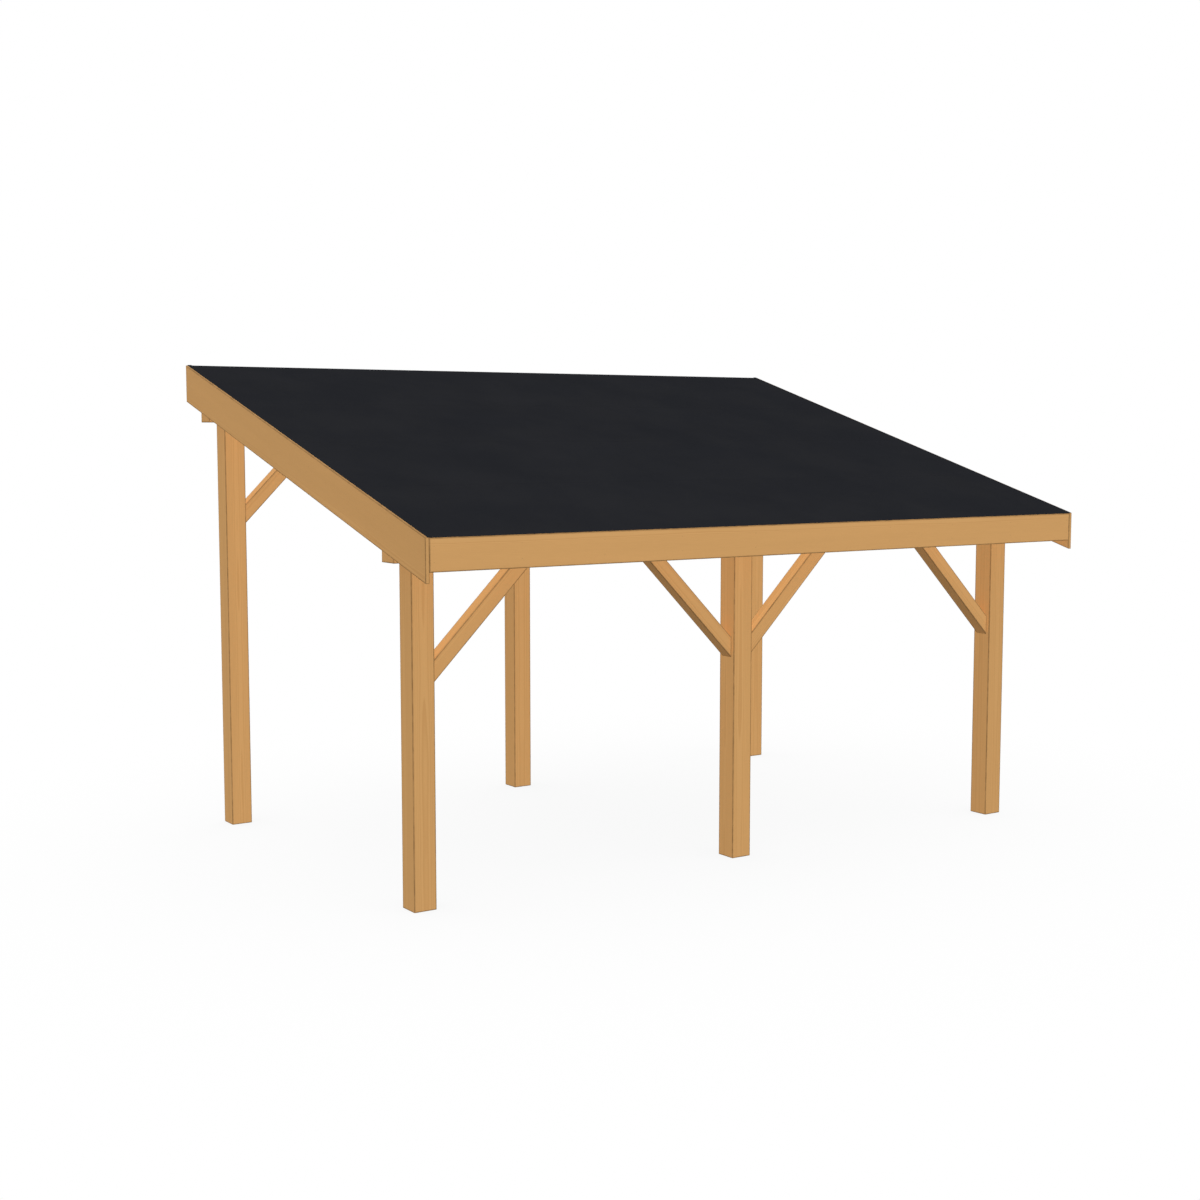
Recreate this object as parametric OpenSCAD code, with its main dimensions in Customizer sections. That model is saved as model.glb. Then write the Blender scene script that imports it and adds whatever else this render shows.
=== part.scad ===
// Freestanding lean-to canopy in timber: two rows of braced posts, a beam on each row, rafters,
// a boarded deck with a dark covering, fascia boards at front and back and a verge board at each side.
// Millimetres, +Z up. The low front faces -Y, and the length runs along X.
// The origin is on the ground, under the middle of the roof's outline.

/* [Posts] */
// Side of each square post
post_w = 150; // [100:5:200]
// Distance between the centres of neighbouring posts in a row
bay = 2400; // [1900:10:3000]
// Distance between the centres of the front and back rows
row_span = 2820; // [2000:10:3600]
// Height of the front posts
front_post_h = 2090; // [1900:5:2600]

/* [Beams] */
// Height of each beam, which is as wide as the posts
beam_h = 170; // [120:5:240]
// Gap between the end of a beam and the verge board
beam_end_gap = 24; // [5:1:60]

/* [Braces] */
// Side of each square brace
brace_w = 95; // [60:5:100]
// Reach of each brace, down its post and along its beam
brace_leg = 732; // [400:1:800]

/* [Rafters] */
// Number of rafters
rafter_count = 10; // [6:1:14]
// Width of each rafter
rafter_w = 60; // [40:5:80]
// Depth of each rafter, square to the roof
rafter_h = 145; // [120:5:200]
// Length of the level seat cut in a rafter where it rests on a beam
rafter_seat = 85; // [40:5:100]

/* [Roof] */
// Pitch of the roof in degrees
roof_pitch = 16.35; // [8:0.05:22]
// Overhang of the roof past the outer posts at each side
side_overhang = 162; // [100:1:300]
// Overhang of the roof past the front posts
front_overhang = 482; // [200:1:700]
// Overhang of the roof past the back posts
back_overhang = 155; // [100:5:500]
// Thickness of the boarded deck
deck_t = 20; // [15:1:30]
// Thickness of the roof covering
covering_t = 3; // [2:0.5:6]

/* [Edge boards] */
// Thickness of the fascia and verge boards
board_t = 25; // [18:1:40]
// Height of each fascia board at its outer face
fascia_h = 195; // [180:5:260]
// Width of each verge board, square to the roof
verge_w = 250; // [220:5:320]

/* [Hidden] */
// Colours of the timber and of the roof covering
timber_colour = "#C79860";
deck_colour = "#B98D58";
covering_colour = "#26272B";

// Outline of the roof, and the inner faces of the boards around it
roof_w = 2 * bay + post_w + 2 * side_overhang;
roof_d = front_overhang + post_w + row_span + back_overhang;
front_y = -roof_d / 2;
back_y = roof_d / 2;
front_inner_y = front_y + board_t;
back_inner_y = back_y - board_t;
verge_inner_x = roof_w / 2 - board_t;

// Rows of posts: the place of each row, and the height of its posts
slope = tan(roof_pitch);
front_row_y = front_y + front_overhang + post_w / 2;
row_ys = [front_row_y, front_row_y + row_span];
post_hs = [front_post_h, front_post_h + row_span * slope];
post_xs = [-bay, 0, bay];

// Beams and rafters
beam_l = 2 * (verge_inner_x - beam_end_gap);
beam_face_ys = [for (y = row_ys) y - post_w / 2];
beam_tops = [for (h = post_hs) h + beam_h];
rafter_pitch = (2 * verge_inner_x - rafter_w) / (rafter_count - 1);

// Height of the plumb cut at the foot of a brace
brace_cut = brace_w / cos(45);

// Names of the nodes
row_names = ["front", "back"];
post_names = ["left", "middle", "right"];
brace_names = ["left", "middle_left", "middle_right", "right"];
brace_posts = [0, 1, 1, 2];
brace_sides = [1, -1, 1, -1];
verge_names = ["left", "right"];
verge_sides = [-1, 1];

// Plumb height of a layer whose thickness is measured square to the roof
function plumb(thickness) = thickness / cos(roof_pitch);

// Heights of the roof's layers at a place y.
// The rafters' undersides meet the beams' tops where the seats end.
function rafter_under_z(y) = beam_tops[0] + (y - beam_face_ys[0] - rafter_seat) * slope;
function rafter_top_z(y) = rafter_under_z(y) + plumb(rafter_h);
function deck_top_z(y) = rafter_top_z(y) + plumb(deck_t);
function roof_top_z(y) = deck_top_z(y) + plumb(covering_t);

// Extrudes an outline drawn in Y and Z along X
module along_x(from_x, length) {
    translate([from_x, 0, 0]) rotate([90, 0, 90]) linear_extrude(length) children();
}

// Square post that stands on the ground at the centre x, y
module post(x, y, height) {
    color(timber_colour)
        translate([x - post_w / 2, y - post_w / 2, 0]) cube([post_w, post_w, height]);
}

// Beam that lies on a row of posts
module beam(row) {
    color(timber_colour)
        translate([-beam_l / 2, beam_face_ys[row], post_hs[row]]) cube([beam_l, post_w, beam_h]);
}

// Brace at 45 degrees between a post and the beam on it, on the post's right (side 1) or left (side -1)
module brace(x, row, side) {
    face_x = x + side * post_w / 2;
    top_z = post_hs[row];
    outline = [
        [face_x, top_z - brace_leg],
        [face_x + side * brace_leg, top_z],
        [face_x + side * (brace_leg - brace_cut), top_z],
        [face_x, top_z - brace_leg + brace_cut]
    ];
    color(timber_colour)
        translate([0, row_ys[row] + brace_w / 2, 0])
            rotate([90, 0, 0]) linear_extrude(brace_w) polygon(outline);
}

// Rafter with plumb-cut ends and a birdsmouth over each beam
module rafter(index) {
    birdsmouths = [for (row = [0, 1]) each [
        [beam_face_ys[row], rafter_under_z(beam_face_ys[row])],
        [beam_face_ys[row], beam_tops[row]],
        [beam_face_ys[row] + rafter_seat, beam_tops[row]]
    ]];
    outline = concat(
        [[front_inner_y, rafter_under_z(front_inner_y)]],
        birdsmouths,
        [
            [back_inner_y, rafter_under_z(back_inner_y)],
            [back_inner_y, rafter_top_z(back_inner_y)],
            [front_inner_y, rafter_top_z(front_inner_y)]
        ]
    );
    color(timber_colour)
        along_x(-verge_inner_x + (index - 1) * rafter_pitch, rafter_w) polygon(outline);
}

// Deck of boards on the rafters, between the fascias and the verges
module roof_deck() {
    color(deck_colour)
        along_x(-verge_inner_x, 2 * verge_inner_x) polygon([
            [front_inner_y, rafter_top_z(front_inner_y)],
            [back_inner_y, rafter_top_z(back_inner_y)],
            [back_inner_y, deck_top_z(back_inner_y)],
            [front_inner_y, deck_top_z(front_inner_y)]
        ]);
}

// Covering that lies on the deck and on the tops of the fascias
module roof_covering() {
    color(covering_colour)
        along_x(-verge_inner_x, 2 * verge_inner_x) polygon([
            [front_y, deck_top_z(front_y)],
            [back_y, deck_top_z(back_y)],
            [back_y, roof_top_z(back_y)],
            [front_y, roof_top_z(front_y)]
        ]);
}

// Fascia board between the outer and inner faces given, its top bevelled to the roof
module fascia(outer_y, inner_y) {
    under_z = deck_top_z(outer_y) - fascia_h;
    color(timber_colour)
        along_x(-verge_inner_x, 2 * verge_inner_x) polygon([
            [outer_y, under_z],
            [inner_y, under_z],
            [inner_y, deck_top_z(inner_y)],
            [outer_y, deck_top_z(outer_y)]
        ]);
}

module front_fascia() {
    fascia(front_y, front_inner_y);
}

module back_fascia() {
    fascia(back_y, back_inner_y);
}

// Verge board along the left (side -1) or right (side 1) edge, its top level with the covering's
module verge(side) {
    from_x = side > 0 ? verge_inner_x : -roof_w / 2;
    color(timber_colour)
        along_x(from_x, board_t) polygon([
            [front_y, roof_top_z(front_y) - plumb(verge_w)],
            [back_y, roof_top_z(back_y) - plumb(verge_w)],
            [back_y, roof_top_z(back_y)],
            [front_y, roof_top_z(front_y)]
        ]);
}

for (row = [0, 1]) {
    for (p = [0 : len(post_names) - 1])
        post(post_xs[p], row_ys[row], post_hs[row]);
    beam(row);
    for (b = [0 : len(brace_names) - 1])
        brace(post_xs[brace_posts[b]], row, brace_sides[b]);
}
for (i = [1 : rafter_count])
    rafter(i);
roof_deck();
roof_covering();
front_fascia();
back_fascia();
for (v = [0 : len(verge_names) - 1])
    verge(verge_sides[v]);
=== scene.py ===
"""Looks of a freestanding lean-to canopy: planed timber, a boarded deck and a dark, lapped roof covering.

Metres, +Z up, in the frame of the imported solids. The low front faces -Y and the length runs along X.
"""

import math
import random

import bmesh
import bpy
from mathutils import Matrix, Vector


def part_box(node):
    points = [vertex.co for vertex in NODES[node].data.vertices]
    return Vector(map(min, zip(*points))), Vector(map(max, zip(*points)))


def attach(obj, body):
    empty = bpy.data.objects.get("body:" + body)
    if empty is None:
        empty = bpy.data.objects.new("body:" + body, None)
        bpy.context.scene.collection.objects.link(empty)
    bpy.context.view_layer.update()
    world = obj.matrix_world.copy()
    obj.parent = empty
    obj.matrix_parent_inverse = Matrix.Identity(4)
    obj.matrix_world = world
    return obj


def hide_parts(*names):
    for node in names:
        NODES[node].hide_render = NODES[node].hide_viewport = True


# Seed of every random draw
SEED = 16

# Merging and flattening the copied solids
WELD = 0.00001
FLAT_ANGLE = math.radians(0.5)
SAME_FACING = 0.9999

# Directions
LENGTHWISE = Vector((1.0, 0.0, 0.0))
CROSSWISE = Vector((0.0, 1.0, 0.0))
UPRIGHT = Vector((0.0, 0.0, 1.0))

# Eased edges of the timber, and the strip beside them that is painted darker
ARRIS = 0.003
ARRIS_STEPS = 2
ARRIS_PROFILE = 0.5
ARRIS_FADE = 0.006
ARRIS_FADE_MOST_SHARE = 0.09
ARRIS_PATCHES = 14.0
ARRIS_BREAKUP = 0.35

# End grain, on faces that look along the log
END_GRAIN_FACING = 0.6
END_GRAIN_SHADE = 0.97

# Faces that look up are painted darker too, across their whole width
UPWARD_FACING = 0.9
UPWARD_DARKENING = 0.8

# How far the heart of the log lies from the middle of each kind of timber
POST_PITH = (0.01, 0.05)
BEAM_PITH = (0.02, 0.06)
BRACE_PITH = (0.03, 0.08)
RAFTER_PITH = (0.05, 0.12)
BOARD_PITH = (0.06, 0.13)

# Each timber comes from its own stretch of an endless log
LOG_STRETCH = 40.0

# A log counts as running along an axis past this share of its length
RUNS_ALONG_SHARE = 0.5

# Grain patterns: waves to the metre along, across and through the log
WANDER_WAVES = (0.9, 3.0, 3.0)
STREAK_WAVES = (0.8, 16.0, 16.0)
FIBRE_WAVES = (8.0, 420.0, 420.0)
STREAK_DETAIL = 3.0
FIBRE_ROUGHNESS = 0.6

# How far the heart of a log wanders, and the middle of the noise that it follows
HEART_WANDER = 0.012
NOISE_MIDDLE = (0.5, 0.5, 0.5)

# Yearly rings: how unevenly they grow outwards, and the stretch of a year in which the wood is dark
YEAR_WAVES = 25.0
YEAR_UNEVENNESS = 2.0
LATE_START_SHARE = 0.3
LATE_FULL_SHARE = 0.88
LATE_END_SHARE = 0.92

# Knots: cells to the metre along the log and to the radian round it, and sizes as shares of a cell
KNOT_CELLS_ALONG = 7.5
KNOT_CELLS_ROUND = 0.6
KNOT_SIZE_SHARES = (0.05, 0.1)
KNOT_CORE_SHARE = 0.7
KNOT_BULGE_SHARE = 0.3
KNOT_BULGE = 0.012

# Uneven wear: the noise that breaks it up, and where in that noise the worn patches start and end
WEAR_DETAIL = 4.0
WEAR_ROUGHNESS = 0.6
WEAR_START = 0.3
WEAR_END = 0.7

# Finish of all timber: how strongly rings and knots show, and the shades that the rest runs between
RING_STRENGTH = 0.35
KNOT_STRENGTH = 0.7
STREAK_SHADES = (0.95, 1.05)
FIBRE_SHADES = (0.95, 1.05)
TONE_SHADES = (0.97, 1.03)
TIMBER_ROUGHNESS = (0.62, 0.8)
RING_SMOOTHING = 0.1
RING_RELIEF = 0.7
FIBRE_RELIEF = 0.8
KNOT_RELIEF = 0.9
TIMBER_BUMP = {"Strength": 0.3, "Distance": 0.0006}
TIMBER_SPECULAR = 0.06

# Finish of each kind of timber: width of a yearly ring, share of cells with a knot, shade painted on the
# edges
FRAME_FINISH = {"ring_width": 0.0055, "knot_share": 0.0, "edge_shade": 0.4}
RAFTER_FINISH = {"ring_width": 0.0045, "knot_share": 0.05, "edge_shade": 0.5}
BOARD_FINISH = {"ring_width": 0.005, "knot_share": 0.0, "edge_shade": 0.4}
DECK_FINISH = {"ring_width": 0.005, "knot_share": 0.06, "edge_shade": 0.7}

# Finish of the covering: mineral grains and mottle to the metre, their shares in its tone, and dust
MINERAL_SCALE = 420.0
MINERAL_TONE_SHARE = 0.55
MOTTLE_WAVES = (2.2, 2.2, 2.2)
MOTTLE_DETAIL = 5.0
MOTTLE_ROUGHNESS = 0.6
MOTTLE_TONE_SHARE = 0.45
DUST_STRENGTH = 0.04
DUST_PATCHES = 1.6
DUST_BREAKUP = 0.9
COVERING_ROUGHNESS = (0.82, 0.98)
COVERING_BUMP = {"Strength": 0.45, "Distance": 0.0007}

# Finish of the fixings' steel
STEEL_PATCHES = 160.0
STEEL_BREAKUP = 0.8
STEEL_DULL_SHADE = 0.75
STEEL_ROUGHNESS = (0.5, 0.72)
STEEL_METALLIC = 0.8

# Braces by name: 1 leans to the right as it rises, and -1 to the left
BRACE_LEANS = {"left": 1.0, "middle_left": -1.0, "middle_right": 1.0, "right": -1.0}

# Deck boards
DECK_BOARD_COVER = 0.12
DECK_BOARD_GAP = 0.002
DECK_BOARD_CHAMFER = 0.004

# Roof covering: strips that lap over each other up the slope
STRIP_COUNT = 4
STRIP_THICKNESS_SHARE = 0.8
STRIP_LAP = 0.1
STRIP_EASE = 0.03

# Seals along the verges, where the covering is dressed onto the boards' inner edges
SEAL_ON_BOARD = 0.012
SEAL_ON_SHEET = 0.02
SEAL_HEIGHT = 0.0035
SEAL_SUNK = 0.001
SEAL_EASE = 0.003

# Nails of the edge boards, and screws of the braces
NAIL_HEAD = 0.0045
NAIL_PROUD = 0.0003
NAIL_RECESS = 0.0015
NAIL_SPREAD = 0.045
NAIL_PITCH = 0.55
SCREW_HEAD = 0.0095
SCREW_PROUD = 0.0008
SCREW_RECESS = 0.0045
SCREW_SPREAD = 0.022
SCREW_FROM_END = 0.075

# Heads of the nails and screws
HEAD_SIDES = 16
HEAD_TOP_SHARE = 0.84
RECESS_SIDES = 6

# Colours, linear
TIMBER_PALE = (0.568, 0.318, 0.121, 1.0)
TIMBER_LATE = (0.43, 0.215, 0.07, 1.0)
TIMBER_KNOT = (0.3, 0.14, 0.046, 1.0)
DECK_PALE = (0.545, 0.31, 0.122, 1.0)
COVERING_DARK = (0.011, 0.0116, 0.0139, 1.0)
COVERING_PALE = (0.0167, 0.0177, 0.0212, 1.0)
DUST = (0.075, 0.07, 0.062, 1.0)
STEEL_YELLOW = (0.42, 0.27, 0.11, 1.0)
WHITE = (1.0, 1.0, 1.0, 1.0)
BLACK = (0.0, 0.0, 0.0, 1.0)

# Light: a key beside the camera, a weaker one behind the roof, a low fill at the left, and an even sky
KEY_STRENGTH = 3.85
KEY_TOWARDS = (-0.455, -0.78, 0.86)
BACK_STRENGTH = 1.9
BACK_TOWARDS = (0.6, 0.78, 0.12)
FILL_STRENGTH = 0.65
FILL_TOWARDS = (-0.8, 0.0, -0.6)
SKY_STRENGTH = 0.25

# Floor, and the soft shadow on it
FLOOR_SIZE = 160.0
FLOOR_DROP = 0.0005
FLOOR_BOUNCE = (0.2, 0.2, 0.2, 1.0)
SHADOW_REACH = 4.0
SHADOW_DEEPEST = 0.89

# Camera
CAMERA_PLACE = (-7.20659, -10.33704, 2.85335)
CAMERA_TURN = math.radians(33.9106)
CAMERA_DIP = math.radians(5.5322)
CAMERA_LENS = 52.201
CAMERA_SENSOR = 36.0
CAMERA_REACH = 400.0

# Sockets of the Mix node in its colour form
MIX_FIRST = 6
MIX_SECOND = 7
MIX_RESULT = 2


class NodeTree:
    """A node tree in the making. An input takes a plain value, or an output of another node."""

    def __init__(self, tree):
        self.tree = tree

    def feed(self, socket, value):
        """Gives an input its value or its link."""
        if isinstance(value, bpy.types.NodeSocket):
            self.tree.links.new(value, socket)
        else:
            socket.default_value = value

    def add(self, kind, inputs=None, **settings):
        """A new node with its settings made and its inputs, by name or number, fed."""
        made = self.tree.nodes.new(kind)
        for name, value in settings.items():
            setattr(made, name, value)
        for key, value in (inputs or {}).items():
            self.feed(made.inputs[key], value)
        return made

    def math(self, operation, first, second=0.0):
        """The result of an operation on two numbers, or on the first alone."""
        return self.add("ShaderNodeMath", {0: first, 1: second}, operation=operation).outputs[0]

    def vector(self, operation, first, second):
        """The result of an operation on two vectors."""
        return self.add("ShaderNodeVectorMath", {0: first, 1: second}, operation=operation).outputs[0]

    def scaled(self, vector, factor):
        """A vector made longer or shorter by a factor."""
        return self.add("ShaderNodeVectorMath", {0: vector, "Scale": factor}, operation="SCALE").outputs[0]

    def smooth(self, value, start, end, low=0.0, high=1.0):
        """A smooth change from low to high as the value goes from start to end."""
        inputs = {"Value": value, "From Min": start, "From Max": end, "To Min": low, "To Max": high}
        return self.add("ShaderNodeMapRange", inputs, interpolation_type="SMOOTHSTEP").outputs[0]

    def spread(self, value, low, high):
        """A number from 0 to 1 spread evenly from low to high."""
        return self.add("ShaderNodeMapRange", {"Value": value, "To Min": low, "To Max": high}).outputs[0]

    def noise(self, place, detail=2.0, roughness=0.5):
        """A noise texture at a place that is already scaled."""
        inputs = {"Vector": place, "Scale": 1.0, "Detail": detail, "Roughness": roughness}
        return self.add("ShaderNodeTexNoise", inputs)

    def mix(self, share, first, second):
        """Two colours mixed by a share."""
        inputs = {0: share, MIX_FIRST: first, MIX_SECOND: second}
        return self.add("ShaderNodeMix", inputs, data_type="RGBA").outputs[MIX_RESULT]

    def brighten(self, colour, factor):
        """A colour made brighter or darker by a factor."""
        return self.add("ShaderNodeHueSaturation", {"Value": factor, "Color": colour}).outputs[0]

    def attribute(self, name, output):
        """An attribute that the mesh carries, for a shader."""
        return self.add("ShaderNodeAttribute", attribute_name=name).outputs[output]

    def stored(self, name):
        """A vector attribute that the mesh carries, for Geometry Nodes."""
        made = self.add("GeometryNodeInputNamedAttribute", {"Name": name}, data_type="FLOAT_VECTOR")
        return made.outputs[0]


def new_group(name, kind, inputs, outputs):
    """A node group with named sockets. Gives its tree, the inputs to link from and the outputs to feed."""
    group = bpy.data.node_groups.new(name, kind)
    for label, socket in inputs.items():
        group.interface.new_socket(label, in_out="INPUT", socket_type=socket)
    for label, socket in outputs.items():
        group.interface.new_socket(label, in_out="OUTPUT", socket_type=socket)
    tree = NodeTree(group)
    return tree, tree.add("NodeGroupInput").outputs, tree.add("NodeGroupOutput").inputs


def timber_grain_group():
    """Yearly rings round the heart of the log, long streaks, fine fibres and a few knots.

    The place is in metres along, across and through the log, measured from its heart.
    """
    tree, given, put = new_group(
        "Timber grain",
        "ShaderNodeTree",
        {
            "Place": "NodeSocketVector",
            "Ring Width": "NodeSocketFloat",
            "Wander": "NodeSocketFloat",
            "Knot Share": "NodeSocketFloat",
        },
        {
            "Rings": "NodeSocketFloat",
            "Streaks": "NodeSocketFloat",
            "Fibres": "NodeSocketFloat",
            "Knots": "NodeSocketFloat",
        },
    )
    # The heart wanders slowly along the log
    slow_place = tree.vector("MULTIPLY", given["Place"], WANDER_WAVES)
    wander = tree.vector("SUBTRACT", tree.noise(slow_place).outputs["Color"], NOISE_MIDDLE)
    from_heart = tree.vector("ADD", given["Place"], tree.scaled(wander, given["Wander"]))
    log = tree.add("ShaderNodeSeparateXYZ", {0: from_heart}).outputs
    angle = tree.math("ARCTAN2", log["Z"], log["Y"])
    section = tree.add("ShaderNodeCombineXYZ", {"Y": log["Y"], "Z": log["Z"]}).outputs[0]
    radius = tree.add("ShaderNodeVectorMath", {0: section}, operation="LENGTH").outputs["Value"]

    # Knots grow outwards from the heart, one in some of the cells along and round the log
    cell_along = tree.math("MULTIPLY", log["X"], KNOT_CELLS_ALONG)
    cell_round = tree.math("MULTIPLY", angle, KNOT_CELLS_ROUND)
    cell_place = tree.add("ShaderNodeCombineXYZ", {"X": cell_along, "Y": cell_round}).outputs[0]
    cells = tree.add("ShaderNodeTexVoronoi", {"Vector": cell_place, "Scale": 1.0}, voronoi_dimensions="2D")
    distance = cells.outputs["Distance"]
    drawn = tree.add("ShaderNodeSeparateColor", {0: cells.outputs["Color"]}).outputs
    kept = tree.math("LESS_THAN", drawn["Red"], given["Knot Share"])
    reach = tree.spread(drawn["Green"], *KNOT_SIZE_SHARES)
    core = tree.math("MULTIPLY", reach, KNOT_CORE_SHARE)
    knot = tree.math("MULTIPLY", kept, tree.smooth(distance, reach, core))
    bulge = tree.smooth(distance, KNOT_BULGE_SHARE, 0.0, high=KNOT_BULGE)
    bulge = tree.math("MULTIPLY", kept, bulge)

    # Rings: pale wood that darkens slowly and ends at a sharp line
    year_wave = tree.math("MULTIPLY", radius, YEAR_WAVES)
    year_place = tree.add("ShaderNodeCombineXYZ", {"X": year_wave}).outputs[0]
    uneven = tree.noise(year_place).outputs[0]
    rings = tree.math("DIVIDE", tree.math("ADD", radius, bulge), given["Ring Width"])
    rings = tree.math("ADD", rings, tree.math("MULTIPLY", uneven, YEAR_UNEVENNESS))
    year = tree.math("FRACT", rings)
    darkening = tree.smooth(year, LATE_START_SHARE, LATE_FULL_SHARE)
    ending = tree.smooth(year, 1.0, LATE_END_SHARE)

    streak_place = tree.vector("MULTIPLY", given["Place"], STREAK_WAVES)
    fibre_place = tree.vector("MULTIPLY", given["Place"], FIBRE_WAVES)
    tree.feed(put["Rings"], tree.math("MULTIPLY", darkening, ending))
    tree.feed(put["Streaks"], tree.noise(streak_place, STREAK_DETAIL).outputs[0])
    tree.feed(put["Fibres"], tree.noise(fibre_place, roughness=FIBRE_ROUGHNESS).outputs[0])
    tree.feed(put["Knots"], knot)
    return tree.tree


def worn_group():
    """A mask that is broken up unevenly, for darkened edges, for dust and for dulled steel."""
    tree, given, put = new_group(
        "Uneven wear",
        "ShaderNodeTree",
        {
            "Place": "NodeSocketVector",
            "Patches": "NodeSocketFloat",
            "Mask": "NodeSocketFloat",
            "Breakup": "NodeSocketFloat",
        },
        {"Mask": "NodeSocketFloat"},
    )
    wave_place = tree.scaled(given["Place"], given["Patches"])
    waves = tree.noise(wave_place, WEAR_DETAIL, WEAR_ROUGHNESS).outputs[0]
    patches = tree.smooth(waves, WEAR_START, WEAR_END)
    lost = tree.math("MULTIPLY", tree.math("SUBTRACT", 1.0, patches), given["Breakup"])
    tree.feed(put["Mask"], tree.math("MULTIPLY", given["Mask"], tree.math("SUBTRACT", 1.0, lost)))
    return tree.tree


def new_material(name):
    """A material with one Principled shader. Gives it, its tree and the shader."""
    material = bpy.data.materials.new(name)
    material.use_nodes = True
    tree = NodeTree(material.node_tree)
    return material, tree, material.node_tree.nodes["Principled BSDF"]


def timber_material(name, pale, ring_width, knot_share, edge_shade):
    """Planed softwood under a clear matt oil, with its edges painted darker."""
    material, tree, shader = new_material(name)
    grain_inputs = {
        "Place": tree.attribute("grain", "Vector"),
        "Ring Width": ring_width,
        "Wander": HEART_WANDER,
        "Knot Share": knot_share,
    }
    grain = tree.add("ShaderNodeGroup", grain_inputs, node_tree=GRAIN)
    rings, streaks, fibres, knots = (grain.outputs[key] for key in ("Rings", "Streaks", "Fibres", "Knots"))
    end_grain = tree.attribute("end_grain", "Fac")
    tone = tree.attribute("tone", "Fac")

    colour = tree.mix(tree.math("MULTIPLY", rings, RING_STRENGTH), pale, TIMBER_LATE)
    shade = tree.math("MULTIPLY", tree.spread(streaks, *STREAK_SHADES), tree.spread(fibres, *FIBRE_SHADES))
    shade = tree.math("MULTIPLY", shade, tree.spread(tone, *TONE_SHADES))
    shade = tree.math("MULTIPLY", shade, tree.spread(end_grain, 1.0, END_GRAIN_SHADE))
    colour = tree.brighten(colour, shade)
    colour = tree.mix(tree.math("MULTIPLY", knots, KNOT_STRENGTH), colour, TIMBER_KNOT)
    edge_inputs = {
        "Place": tree.add("ShaderNodeTexCoord").outputs["Object"],
        "Patches": ARRIS_PATCHES,
        "Mask": tree.attribute("arris", "Fac"),
        "Breakup": ARRIS_BREAKUP,
    }
    edges = tree.add("ShaderNodeGroup", edge_inputs, node_tree=WORN).outputs["Mask"]
    # Edges, and faces that look up, are painted darker, down to the edge shade
    tree.feed(shader.inputs["Base Color"], tree.brighten(colour, tree.spread(edges, 1.0, edge_shade)))

    smoothing = tree.math("MULTIPLY", rings, RING_SMOOTHING)
    roughness = tree.spread(fibres, *TIMBER_ROUGHNESS)
    tree.feed(shader.inputs["Roughness"], tree.math("SUBTRACT", roughness, smoothing))
    ring_relief = tree.math("MULTIPLY", rings, RING_RELIEF)
    relief = tree.math("ADD", ring_relief, tree.math("MULTIPLY", fibres, FIBRE_RELIEF))
    relief = tree.math("ADD", relief, tree.math("MULTIPLY", knots, KNOT_RELIEF))
    bump = tree.add("ShaderNodeBump", {**TIMBER_BUMP, "Height": relief})
    tree.feed(shader.inputs["Normal"], bump.outputs[0])
    shader.inputs["Specular IOR Level"].default_value = TIMBER_SPECULAR
    return material


def covering_material():
    """Dark roofing sheet with a fine mineral grain, a little mottled and dusty."""
    material, tree, shader = new_material("Roofing sheet")
    place = tree.add("ShaderNodeTexCoord").outputs["Object"]
    minerals = tree.add("ShaderNodeTexVoronoi", {"Vector": place, "Scale": MINERAL_SCALE})
    mineral_tone = tree.add("ShaderNodeSeparateColor", {0: minerals.outputs["Color"]}).outputs["Red"]
    mottle_place = tree.vector("MULTIPLY", place, MOTTLE_WAVES)
    mottle = tree.noise(mottle_place, MOTTLE_DETAIL, MOTTLE_ROUGHNESS).outputs[0]
    mineral_part = tree.math("MULTIPLY", mineral_tone, MINERAL_TONE_SHARE)
    tone = tree.math("ADD", mineral_part, tree.math("MULTIPLY", mottle, MOTTLE_TONE_SHARE))
    colour = tree.mix(tone, COVERING_DARK, COVERING_PALE)
    dust_inputs = {
        "Place": place,
        "Patches": DUST_PATCHES,
        "Mask": DUST_STRENGTH,
        "Breakup": DUST_BREAKUP,
    }
    dust = tree.add("ShaderNodeGroup", dust_inputs, node_tree=WORN).outputs["Mask"]
    tree.feed(shader.inputs["Base Color"], tree.mix(dust, colour, DUST))
    tree.feed(shader.inputs["Roughness"], tree.spread(mineral_tone, *COVERING_ROUGHNESS))
    relief = tree.math("SUBTRACT", 1.0, minerals.outputs["Distance"])
    bump = tree.add("ShaderNodeBump", {**COVERING_BUMP, "Height": relief})
    tree.feed(shader.inputs["Normal"], bump.outputs[0])
    shader.inputs["Specular IOR Level"].default_value = 0.0
    return material


def steel_material():
    """Yellow passivated steel, dulled unevenly."""
    material, tree, shader = new_material("Passivated steel")
    dull_inputs = {
        "Place": tree.add("ShaderNodeTexCoord").outputs["Object"],
        "Patches": STEEL_PATCHES,
        "Mask": 1.0,
        "Breakup": STEEL_BREAKUP,
    }
    dull = tree.add("ShaderNodeGroup", dull_inputs, node_tree=WORN).outputs["Mask"]
    colour = tree.brighten(STEEL_YELLOW, tree.spread(dull, 1.0, STEEL_DULL_SHADE))
    tree.feed(shader.inputs["Base Color"], colour)
    tree.feed(shader.inputs["Roughness"], tree.spread(dull, *STEEL_ROUGHNESS))
    shader.inputs["Metallic"].default_value = STEEL_METALLIC
    return material


def add_object(name, mesh, material=None):
    """An object in the scene that holds a mesh."""
    made = bpy.data.objects.new(name, mesh)
    bpy.context.scene.collection.objects.link(made)
    if material is not None:
        mesh.materials.clear()
        mesh.materials.append(material)
    return made


def mesh_from(name, solid):
    """A plain mesh from a bmesh, which is freed."""
    mesh = bpy.data.meshes.new(name)
    solid.to_mesh(mesh)
    solid.free()
    return mesh


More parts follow.
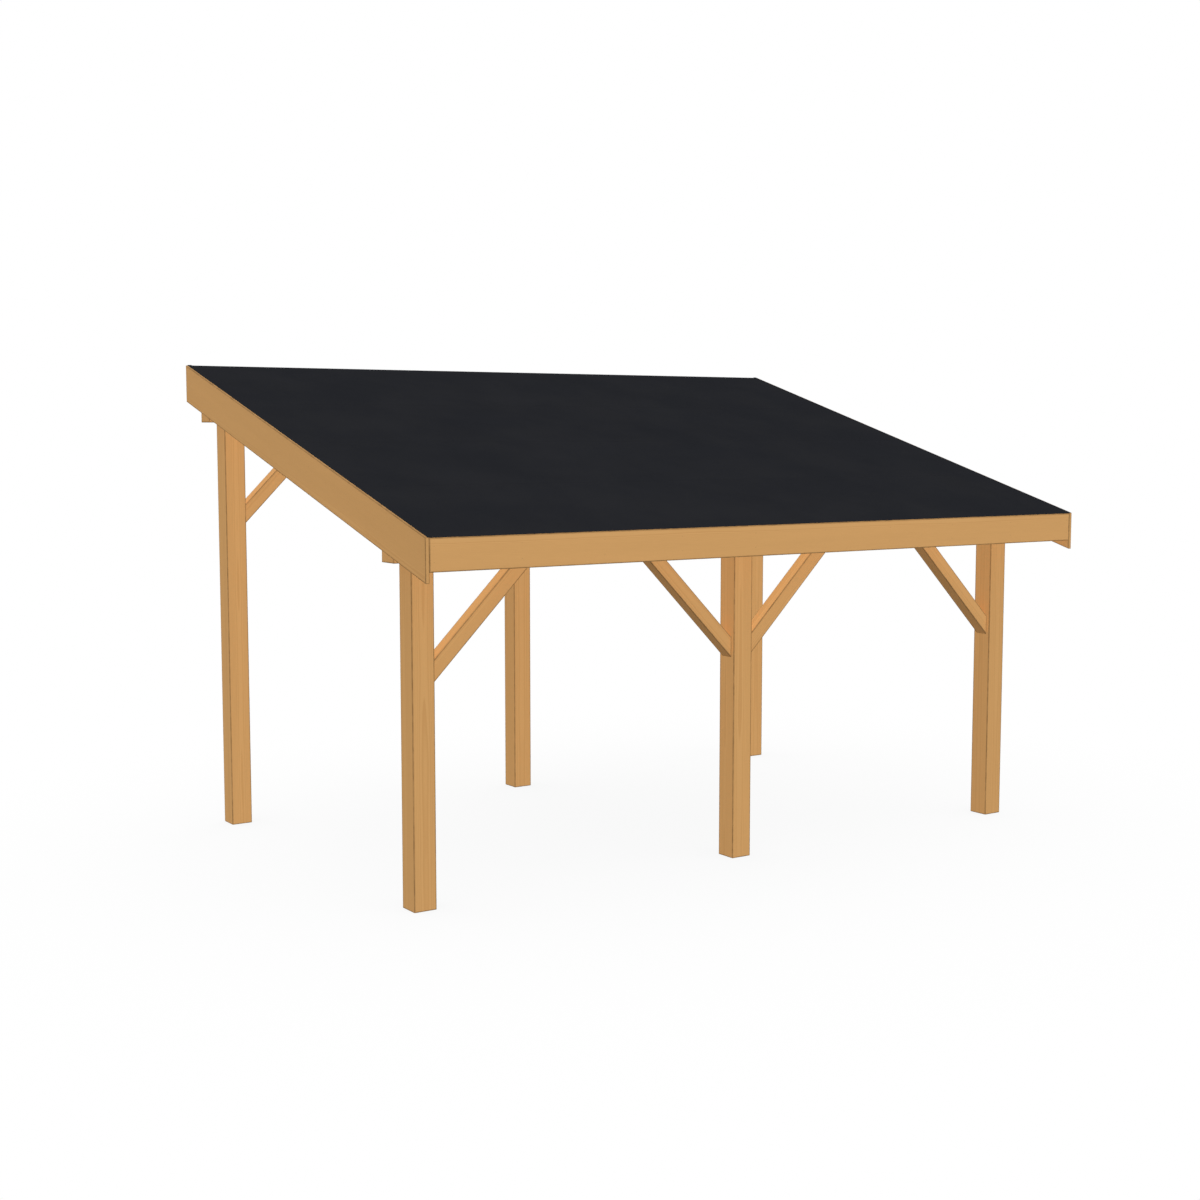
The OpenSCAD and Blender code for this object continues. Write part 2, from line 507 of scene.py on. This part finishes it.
def solid_of(node):
    """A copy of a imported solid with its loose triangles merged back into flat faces."""
    solid = bmesh.new()
    solid.from_mesh(NODES[node].data)
    bmesh.ops.remove_doubles(solid, verts=solid.verts[:], dist=WELD)
    bmesh.ops.dissolve_limit(solid, angle_limit=FLAT_ANGLE, verts=solid.verts[:], edges=solid.edges[:])
    return solid


def ease_edges(solid):
    """Eases every edge of a solid. Gives the flat faces that are left, each inset by its darkened strip."""
    facings = [face.normal.copy() for face in solid.faces]
    bmesh.ops.bevel(
        solid,
        geom=solid.edges[:],
        offset=ARRIS,
        segments=ARRIS_STEPS,
        profile=ARRIS_PROFILE,
        affect="EDGES",
        clamp_overlap=True,
    )
    flats = [f for f in solid.faces if any(f.normal.dot(facing) > SAME_FACING for facing in facings)]
    for face in flats:
        width = face.calc_area() / max(edge.calc_length() for edge in face.edges)
        fade = min(ARRIS_FADE, width * ARRIS_FADE_MOST_SHARE)
        bmesh.ops.inset_individual(solid, faces=[face], thickness=fade, use_even_offset=True)
    return flats


def log_axes(along):
    """Three directions at right angles: along the log, and two across it."""
    beside = CROSSWISE if abs(along.y) < RUNS_ALONG_SHARE else LENGTHWISE
    across = beside - along * beside.dot(along)
    across.normalize()
    return along, across, along.cross(across)


def open_layers(solid):
    """Makes room on a solid for what lay_grain stores, before any of its faces are kept in a list."""
    solid.verts.layers.float_vector.new("grain")
    solid.verts.layers.float.new("arris")
    solid.verts.layers.float.new("tone")
    solid.faces.layers.float.new("end_grain")


def lay_grain(solid, flats, along, pith):
    """Stores where each point lies in its log, which edges and up faces are painted darker, and the end
    grain.
    """
    place = solid.verts.layers.float_vector["grain"]
    arris = solid.verts.layers.float["arris"]
    tone = solid.verts.layers.float["tone"]
    end_grain = solid.faces.layers.float["end_grain"]
    middle = sum((vert.co for vert in solid.verts), Vector()) / len(solid.verts)
    heart_reach = chance.uniform(*pith)
    heart_turn = chance.uniform(0.0, math.tau)
    shift = Vector((
        chance.uniform(0.0, LOG_STRETCH),
        heart_reach * math.cos(heart_turn),
        heart_reach * math.sin(heart_turn),
    ))
    piece_tone = chance.random()
    axes = log_axes(along)
    for vert in solid.verts:
        vert[place] = Vector([axis.dot(vert.co - middle) for axis in axes]) + shift
        vert[arris] = 1.0
        vert[tone] = piece_tone
    # Flat faces that look up are painted darker across their whole width
    for face in flats:
        for vert in face.verts:
            vert[arris] = UPWARD_DARKENING if face.normal.z > UPWARD_FACING else 0.0
    for face in solid.faces:
        face[end_grain] = float(abs(face.normal.dot(along)) > END_GRAIN_FACING)


def fit(piece, node=None):
    """Lets a finished piece ride on the frame and in the place of its solid."""
    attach(piece, "root")
    if node is not None:
        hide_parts(node)


def timber(node, along, pith, material):
    """A planed timber in the place of a solid, with its grain along a direction."""
    solid = solid_of(node)
    open_layers(solid)
    flats = ease_edges(solid)
    lay_grain(solid, flats, along.normalized(), pith)
    name = node + "_timber"
    fit(add_object(name, mesh_from(name, solid), material), node)


def run_tree(name, mesh, tree, values):
    """Runs a Geometry Nodes tree on a mesh, and keeps what it makes as a plain mesh."""
    made = add_object(name, mesh)
    modifier = made.modifiers.new("Made by rule", "NODES")
    modifier.node_group = tree
    for item in tree.interface.items_tree:
        if item.in_out == "INPUT" and item.name in values:
            modifier[item.identifier] = values[item.name]
    settled = bpy.context.evaluated_depsgraph_get()
    result = bpy.data.meshes.new_from_object(
        made.evaluated_get(settled), preserve_all_data_layers=True, depsgraph=settled
    )
    made.modifiers.remove(modifier)
    made.data = result
    return made


def board_courses_tree():
    """Boards laid side by side up a slope, each cut from a log of its own."""
    tree, given, put = new_group(
        "Board courses",
        "GeometryNodeTree",
        {
            "Geometry": "NodeSocketGeometry",
            "Count": "NodeSocketInt",
            "First": "NodeSocketVector",
            "Step": "NodeSocketVector",
            "Pitch": "NodeSocketFloat",
            "Length": "NodeSocketFloat",
            "Width": "NodeSocketFloat",
            "Thickness": "NodeSocketFloat",
            "Chamfer": "NodeSocketFloat",
            "Heart Near": "NodeSocketVector",
            "Heart Far": "NodeSocketVector",
            "Seed": "NodeSocketInt",
            "Material": "NodeSocketMaterial",
        },
        {"Geometry": "NodeSocketGeometry"},
    )
    # One board, with its own place stored as the grain's
    half = tree.math("DIVIDE", given["Length"], 2.0)
    end = tree.add("ShaderNodeCombineXYZ", {"X": half}).outputs[0]
    start = tree.add("ShaderNodeCombineXYZ", {"X": tree.math("MULTIPLY", half, -1.0)}).outputs[0]
    run = tree.add("GeometryNodeCurvePrimitiveLine", {"Start": start, "End": end})
    outline = tree.add(
        "GeometryNodeCurvePrimitiveQuadrilateral", {"Width": given["Width"], "Height": given["Thickness"]}
    )
    chamfered = tree.add(
        "GeometryNodeFilletCurve", {"Curve": outline.outputs[0], "Radius": given["Chamfer"]}, mode="POLY"
    )
    swept = tree.add(
        "GeometryNodeCurveToMesh",
        {"Curve": run.outputs[0], "Profile Curve": chamfered.outputs[0], "Fill Caps": True},
    )
    planed = tree.add("GeometryNodeSetShadeSmooth", {"Geometry": swept.outputs[0], "Shade Smooth": False})
    own_place = tree.add("GeometryNodeInputPosition").outputs[0]
    board = tree.add(
        "GeometryNodeStoreNamedAttribute",
        {"Geometry": planed.outputs[0], "Name": "grain", "Value": own_place},
        data_type="FLOAT_VECTOR",
        domain="POINT",
    )
    # One board on each point of a line up the slope
    line = tree.add(
        "GeometryNodeMeshLine",
        {"Count": given["Count"], "Start Location": given["First"], "Offset": given["Step"]},
    )
    turn = tree.add("ShaderNodeCombineXYZ", {"X": given["Pitch"]}).outputs[0]
    turn = tree.add("FunctionNodeEulerToRotation", {0: turn}).outputs[0]
    laid = tree.add(
        "GeometryNodeInstanceOnPoints",
        {"Points": line.outputs[0], "Instance": board.outputs[0], "Rotation": turn},
    )
    heart = tree.add(
        "FunctionNodeRandomValue",
        {"Min": given["Heart Near"], "Max": given["Heart Far"], "Seed": given["Seed"]},
        data_type="FLOAT_VECTOR",
    )
    with_heart = tree.add(
        "GeometryNodeStoreNamedAttribute",
        {"Geometry": laid.outputs[0], "Name": "heart", "Value": heart.outputs[0]},
        data_type="FLOAT_VECTOR",
        domain="INSTANCE",
    )
    tone = tree.add("FunctionNodeRandomValue", {"Seed": given["Seed"]}, data_type="FLOAT")
    toned = tree.add(
        "GeometryNodeStoreNamedAttribute",
        {"Geometry": with_heart.outputs[0], "Name": "tone", "Value": tone.outputs["Value"]},
        data_type="FLOAT",
        domain="INSTANCE",
    )
    real = tree.add("GeometryNodeRealizeInstances", {"Geometry": toned.outputs[0]})
    own_place = tree.stored("grain")
    own_heart = tree.stored("heart")
    in_log = tree.add(
        "GeometryNodeStoreNamedAttribute",
        {"Geometry": real.outputs[0], "Name": "grain", "Value": tree.vector("ADD", own_place, own_heart)},
        data_type="FLOAT_VECTOR",
        domain="POINT",
    )
    finished = tree.add(
        "GeometryNodeSetMaterial", {"Geometry": in_log.outputs[0], "Material": given["Material"]}
    )
    tree.feed(put["Geometry"], finished.outputs[0])
    return tree.tree


def fixings_tree():
    """A low fixing head with a six-sided recess on every point, turned to the point's facing."""
    tree, given, put = new_group(
        "Fixing heads",
        "GeometryNodeTree",
        {
            "Geometry": "NodeSocketGeometry",
            "Head": "NodeSocketFloat",
            "Proud": "NodeSocketFloat",
            "Recess": "NodeSocketFloat",
            "Seed": "NodeSocketInt",
            "Material": "NodeSocketMaterial",
        },
        {"Geometry": "NodeSocketGeometry"},
    )
    # The head is a low cone, half of it sunk in the timber
    radius = tree.math("DIVIDE", given["Head"], 2.0)
    height = tree.math("MULTIPLY", given["Proud"], 2.0)
    head = tree.add(
        "GeometryNodeMeshCone",
        {
            "Vertices": HEAD_SIDES,
            "Radius Top": tree.math("MULTIPLY", radius, HEAD_TOP_SHARE),
            "Radius Bottom": radius,
            "Depth": height,
        },
    )
    seated = tree.add("ShaderNodeCombineXYZ", {"Z": tree.math("MULTIPLY", given["Proud"], -1.0)}).outputs[0]
    head = tree.add("GeometryNodeTransform", {"Geometry": head.outputs["Mesh"], "Translation": seated})
    # The recess is cut from its top
    socket = tree.add(
        "GeometryNodeMeshCylinder",
        {"Vertices": RECESS_SIDES, "Radius": tree.math("DIVIDE", given["Recess"], 2.0), "Depth": height},
    )
    sunk = tree.add("ShaderNodeCombineXYZ", {"Z": given["Proud"]}).outputs[0]
    socket = tree.add("GeometryNodeTransform", {"Geometry": socket.outputs["Mesh"], "Translation": sunk})
    cut = tree.add("GeometryNodeMeshBoolean", operation="DIFFERENCE", solver="EXACT")
    tree.feed(cut.inputs["Mesh 1"], head.outputs[0])
    tree.feed(cut.inputs["Mesh 2"], socket.outputs[0])
    # Each head is turned to its facing, and then by chance about its own axis
    facing = tree.stored("facing")
    turn = tree.add("FunctionNodeAlignRotationToVector", {"Vector": facing}, axis="Z").outputs[0]
    angle = tree.add("FunctionNodeRandomValue", {"Seed": given["Seed"]}, data_type="FLOAT")
    spin = tree.math("MULTIPLY", angle.outputs["Value"], math.tau)
    spin = tree.add("ShaderNodeCombineXYZ", {"Z": spin}).outputs[0]
    spin = tree.add("FunctionNodeEulerToRotation", {0: spin}).outputs[0]
    turned = tree.add("FunctionNodeRotateRotation", {0: turn, 1: spin}, rotation_space="LOCAL").outputs[0]
    placed = tree.add(
        "GeometryNodeInstanceOnPoints",
        {"Points": given["Geometry"], "Instance": cut.outputs["Mesh"], "Rotation": turned},
    )
    real = tree.add("GeometryNodeRealizeInstances", {"Geometry": placed.outputs[0]})
    finished = tree.add(
        "GeometryNodeSetMaterial", {"Geometry": real.outputs[0], "Material": given["Material"]}
    )
    tree.feed(put["Geometry"], finished.outputs[0])
    return tree.tree


def roof_pitch():
    """The pitch of the roof, from the upper face of the covering."""
    solid = solid_of("roof_covering")
    upper = max((face for face in solid.faces if face.normal.z > 0.0), key=lambda face: face.calc_area())
    pitch = math.atan2(-upper.normal.y, upper.normal.z)
    solid.free()
    return pitch


def slope_length(low, high):
    """The length, up the slope, of a piece of the roof that fills a box."""
    return (high.y - low.y) / math.cos(PITCH)


def plumb_thickness(low, high):
    """The upright thickness of a layer of the roof that fills a box."""
    return high.z - low.z - (high.y - low.y) * math.tan(PITCH)


def build_frame_timbers(material):
    """Posts, beams and braces."""
    for row in ("front", "back"):
        for side in ("left", "middle", "right"):
            timber(f"{row}_{side}_post", UPRIGHT, POST_PITH, material)
        timber(f"{row}_beam", LENGTHWISE, BEAM_PITH, material)
        for side, lean in BRACE_LEANS.items():
            along = UPRIGHT + lean * LENGTHWISE
            timber(f"{row}_{side}_brace", along, BRACE_PITH, material)


def build_roof_timbers(rafter_wood, board_wood):
    """Rafters, fascia boards and verge boards."""
    for node in RAFTERS:
        timber(node, UP_SLOPE, RAFTER_PITH, rafter_wood)
    for row in ("front", "back"):
        timber(f"{row}_fascia", LENGTHWISE, BOARD_PITH, board_wood)
    for side in ("left", "right"):
        timber(f"{side}_verge", UP_SLOPE, BOARD_PITH, board_wood)


def build_deck(material):
    """Deck boards across the rafters, square to the slope."""
    low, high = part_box("roof_deck")
    thickness = plumb_thickness(low, high) * math.cos(PITCH)
    lean = thickness * math.tan(PITCH)
    covered = slope_length(low, high) - lean
    count = round(covered / DECK_BOARD_COVER)
    cover = covered / count
    edge = Vector((0.0, low.y, low.z))
    first = edge + UP_SLOPE * (lean + cover / 2.0) + OFF_SLOPE * (thickness / 2.0)
    values = {
        "Count": count,
        "First": first,
        "Step": UP_SLOPE * cover,
        "Pitch": PITCH,
        "Length": high.x - low.x,
        "Width": cover - DECK_BOARD_GAP,
        "Thickness": thickness,
        "Chamfer": DECK_BOARD_CHAMFER,
        "Heart Near": Vector((0.0, -BOARD_PITH[0], BOARD_PITH[0])),
        "Heart Far": Vector((LOG_STRETCH, BOARD_PITH[0], BOARD_PITH[1])),
        "Seed": SEED,
        "Material": material,
    }
    boards = run_tree("deck_boards", bpy.data.meshes.new("deck_boards"), board_courses_tree(), values)
    fit(boards, "roof_deck")


def prism(corners, travel):
    """A closed solid swept straight from an outline."""
    solid = bmesh.new()
    end = solid.faces.new([solid.verts.new(corner) for corner in corners])
    pulled = bmesh.ops.extrude_face_region(solid, geom=[end])
    moved = [item for item in pulled["geom"] if isinstance(item, bmesh.types.BMVert)]
    bmesh.ops.translate(solid, verts=moved, vec=travel)
    bmesh.ops.recalc_face_normals(solid, faces=solid.faces[:])
    return solid


def build_covering(material):
    """Roofing strips along the roof that lap over each other, as one closed sheet with low steps."""
    low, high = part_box("roof_covering")
    lapped = plumb_thickness(low, high)
    single = lapped * STRIP_THICKNESS_SHARE
    length = slope_length(low, high)
    strip = (length - STRIP_LAP) / STRIP_COUNT
    # Outline of the upper side as pairs: how far up the slope, and how high above the deck
    upper = []
    for index in range(STRIP_COUNT):
        edge = index * strip
        upper += [(edge, lapped), (edge + STRIP_LAP, lapped)]
        upper += [(edge + STRIP_LAP + STRIP_EASE, single), (edge + strip, single)]
    last = STRIP_COUNT * strip
    upper += [(last, lapped), (length, lapped)]
    outline = [(0.0, 0.0), *upper, (length, 0.0)]
    corners = [low + UP_SLOPE * far + UPRIGHT * height for far, height in outline]
    solid = prism(corners, LENGTHWISE * (high.x - low.x))
    sheet = add_object("roofing_sheet", mesh_from("roofing_sheet", solid), material)
    fit(sheet, "roof_covering")


def build_seals(material):
    """A low seal along each verge, over the joint between the covering and the board."""
    low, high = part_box("roof_covering")
    length = slope_length(low, high)
    front_top_z = high.z - length * math.sin(PITCH)
    # Outline of the seal as pairs: how far out from the joint, and how high above the covering
    outline = [
        (-SEAL_ON_SHEET, -SEAL_SUNK),
        (SEAL_ON_BOARD, -SEAL_SUNK),
        (SEAL_ON_BOARD, 0.0),
        (SEAL_ON_BOARD - SEAL_EASE, SEAL_HEIGHT),
        (SEAL_EASE - SEAL_ON_SHEET, SEAL_HEIGHT),
        (-SEAL_ON_SHEET, 0.0),
    ]
    for side, joint_x, outward in (("left", low.x, -1.0), ("right", high.x, 1.0)):
        corners = [Vector((joint_x + outward * out, low.y, front_top_z + up)) for out, up in outline]
        name = f"{side}_verge_seal"
        solid = prism(corners, UP_SLOPE * length)
        fit(add_object(name, mesh_from(name, solid), material))


def facing_points(name, points):
    """A mesh of loose points from pairs of place and facing."""
    mesh = bpy.data.meshes.new(name)
    mesh.from_pydata([place for place, _ in points], [], [])
    facing = mesh.attributes.new("facing", "FLOAT_VECTOR", "POINT")
    for slot, (_, direction) in zip(facing.data, points):
        slot.vector = direction
    return mesh


def fascia_nails():
    """Two nails through each fascia into the end of each rafter."""
    points = []
    for row, outward in (("front", -1.0), ("back", 1.0)):
        low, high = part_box(f"{row}_fascia")
        face_y = low.y if outward < 0.0 else high.y
        middle_z = (low.z + high.z) / 2.0
        for node in RAFTERS:
            rafter_low, rafter_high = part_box(node)
            x = (rafter_low.x + rafter_high.x) / 2.0
            for offset in (-NAIL_SPREAD, NAIL_SPREAD):
                points.append((Vector((x, face_y, middle_z + offset)), Vector((0.0, outward, 0.0))))
    return points


def verge_nails():
    """Pairs of nails through each verge board into the rafter beside it."""
    points = []
    for side, outward in (("left", -1.0), ("right", 1.0)):
        low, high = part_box(f"{side}_verge")
        face_x = low.x if outward < 0.0 else high.x
        middle = Vector((face_x, (low.y + high.y) / 2.0, (low.z + high.z) / 2.0))
        reach = slope_length(low, high) - NAIL_PITCH / 2.0
        pairs = round(reach / NAIL_PITCH)
        for index in range(pairs):
            along = (index - (pairs - 1) / 2.0) * NAIL_PITCH
            for offset in (-NAIL_SPREAD, NAIL_SPREAD):
                points.append((middle + UP_SLOPE * along + OFF_SLOPE * offset, Vector((outward, 0.0, 0.0))))
    return points


def brace_screws():
    """Two screws through the lower side of each brace at each end."""
    points = []
    for row in ("front", "back"):
        for side, lean in BRACE_LEANS.items():
            low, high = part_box(f"{row}_{side}_brace")
            along = Vector((lean, 0.0, 1.0)).normalized()
            below = Vector((lean, 0.0, -1.0)).normalized()
            middle_y = (low.y + high.y) / 2.0
            foot = Vector((low.x if lean > 0.0 else high.x, middle_y, low.z))
            top = Vector((high.x if lean > 0.0 else low.x, middle_y, high.z))
            for place in (foot + along * SCREW_FROM_END, top - along * SCREW_FROM_END):
                for offset in (-SCREW_SPREAD, SCREW_SPREAD):
                    points.append((place + CROSSWISE * offset, below))
    return points


def build_fixings(material):
    """Nails in the edge boards and screws in the braces."""
    tree = fixings_tree()
    nail = {"Head": NAIL_HEAD, "Proud": NAIL_PROUD, "Recess": NAIL_RECESS}
    screw = {"Head": SCREW_HEAD, "Proud": SCREW_PROUD, "Recess": SCREW_RECESS}
    for name, points, sizes in (
        ("fascia_nails", fascia_nails(), nail),
        ("verge_nails", verge_nails(), nail),
        ("brace_screws", brace_screws(), screw),
    ):
        values = {**sizes, "Seed": SEED, "Material": material}
        fit(run_tree(name, facing_points(name, points), tree, values))


def is_seen(tree):
    """1 for rays that show a surface to the camera, in a mirror or through glass, and 0 for others."""
    path = tree.add("ShaderNodeLightPath").outputs
    seen = tree.math("MAXIMUM", path["Is Camera Ray"], path["Is Glossy Ray"])
    return tree.math("MAXIMUM", seen, path["Is Transmission Ray"])


def build_floor():
    """A plain floor, white where it is seen, that keeps the soft shadow under the roof."""
    mesh = bpy.data.meshes.new("floor")
    half = FLOOR_SIZE / 2.0
    corners = [(-half, -half), (half, -half), (half, half), (-half, half)]
    mesh.from_pydata([(x, y, -FLOOR_DROP) for x, y in corners], [], [(0, 1, 2, 3)])
    material, tree, shader = new_material("Pale floor")
    seen = is_seen(tree)
    open_sky = tree.add("ShaderNodeAmbientOcclusion", {"Distance": SHADOW_REACH}).outputs["AO"]
    tree.feed(shader.inputs["Base Color"], tree.mix(seen, FLOOR_BOUNCE, BLACK))
    tree.feed(shader.inputs["Emission Color"], tree.spread(open_sky, SHADOW_DEEPEST, 1.0))
    tree.feed(shader.inputs["Emission Strength"], seen)
    shader.inputs["Roughness"].default_value = 1.0
    shader.inputs["Specular IOR Level"].default_value = 0.0
    add_object("floor", mesh, material)


def build_sky():
    """An even sky that is white where it is seen."""
    world = bpy.data.worlds.new("Even sky")
    world.use_nodes = True
    tree = NodeTree(world.node_tree)
    background = world.node_tree.nodes["Background"]
    background.inputs["Color"].default_value = WHITE
    tree.feed(background.inputs["Strength"], tree.spread(is_seen(tree), SKY_STRENGTH, 1.0))
    bpy.context.scene.world = world


def add_sun(name, strength, towards, glints):
    """An even lamp from a direction, with no shadow of its own. It shows in glossy surfaces or not."""
    lamp = bpy.data.lights.new(name, "SUN")
    lamp.energy = strength
    lamp.use_shadow = False
    made = bpy.data.objects.new(name, lamp)
    made.visible_glossy = glints
    made.rotation_euler = Vector(towards).to_track_quat("Z", "Y").to_euler()
    bpy.context.scene.collection.objects.link(made)


def add_camera():
    """The camera, level from side to side."""
    data = bpy.data.cameras.new("Camera")
    data.sensor_width = CAMERA_SENSOR
    data.lens = CAMERA_LENS
    data.clip_end = CAMERA_REACH
    camera = bpy.data.objects.new("Camera", data)
    camera.location = CAMERA_PLACE
    camera.rotation_euler = (math.pi / 2.0 - CAMERA_DIP, 0.0, -CAMERA_TURN)
    bpy.context.scene.collection.objects.link(camera)
    bpy.context.scene.camera = camera


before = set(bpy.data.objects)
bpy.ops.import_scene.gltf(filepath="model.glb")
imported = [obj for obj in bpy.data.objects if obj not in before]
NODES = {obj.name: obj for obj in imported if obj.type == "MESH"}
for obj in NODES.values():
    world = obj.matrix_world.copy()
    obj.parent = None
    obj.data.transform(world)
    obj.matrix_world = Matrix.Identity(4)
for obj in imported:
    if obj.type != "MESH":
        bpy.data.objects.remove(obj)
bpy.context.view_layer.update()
RAFTERS = sorted(name for name in NODES if name.startswith("rafter_"))
chance = random.Random(SEED)

PITCH = roof_pitch()
UP_SLOPE = Vector((0.0, math.cos(PITCH), math.sin(PITCH)))
OFF_SLOPE = Vector((0.0, -math.sin(PITCH), math.cos(PITCH)))

GRAIN = timber_grain_group()
WORN = worn_group()
frame_wood = timber_material("Squared timber", TIMBER_PALE, **FRAME_FINISH)
rafter_wood = timber_material("Rafter timber", TIMBER_PALE, **RAFTER_FINISH)
board_wood = timber_material("Edge board timber", TIMBER_PALE, **BOARD_FINISH)
deck_wood = timber_material("Deck board timber", DECK_PALE, **DECK_FINISH)

build_frame_timbers(frame_wood)
build_roof_timbers(rafter_wood, board_wood)
build_deck(deck_wood)
roofing = covering_material()
build_covering(roofing)
build_seals(roofing)
build_fixings(steel_material())

build_floor()
build_sky()
add_sun("Key", KEY_STRENGTH, KEY_TOWARDS, glints=True)
add_sun("Back", BACK_STRENGTH, BACK_TOWARDS, glints=False)
add_sun("Fill", FILL_STRENGTH, FILL_TOWARDS, glints=False)
add_camera()
bpy.context.scene.view_settings.view_transform = "Standard"
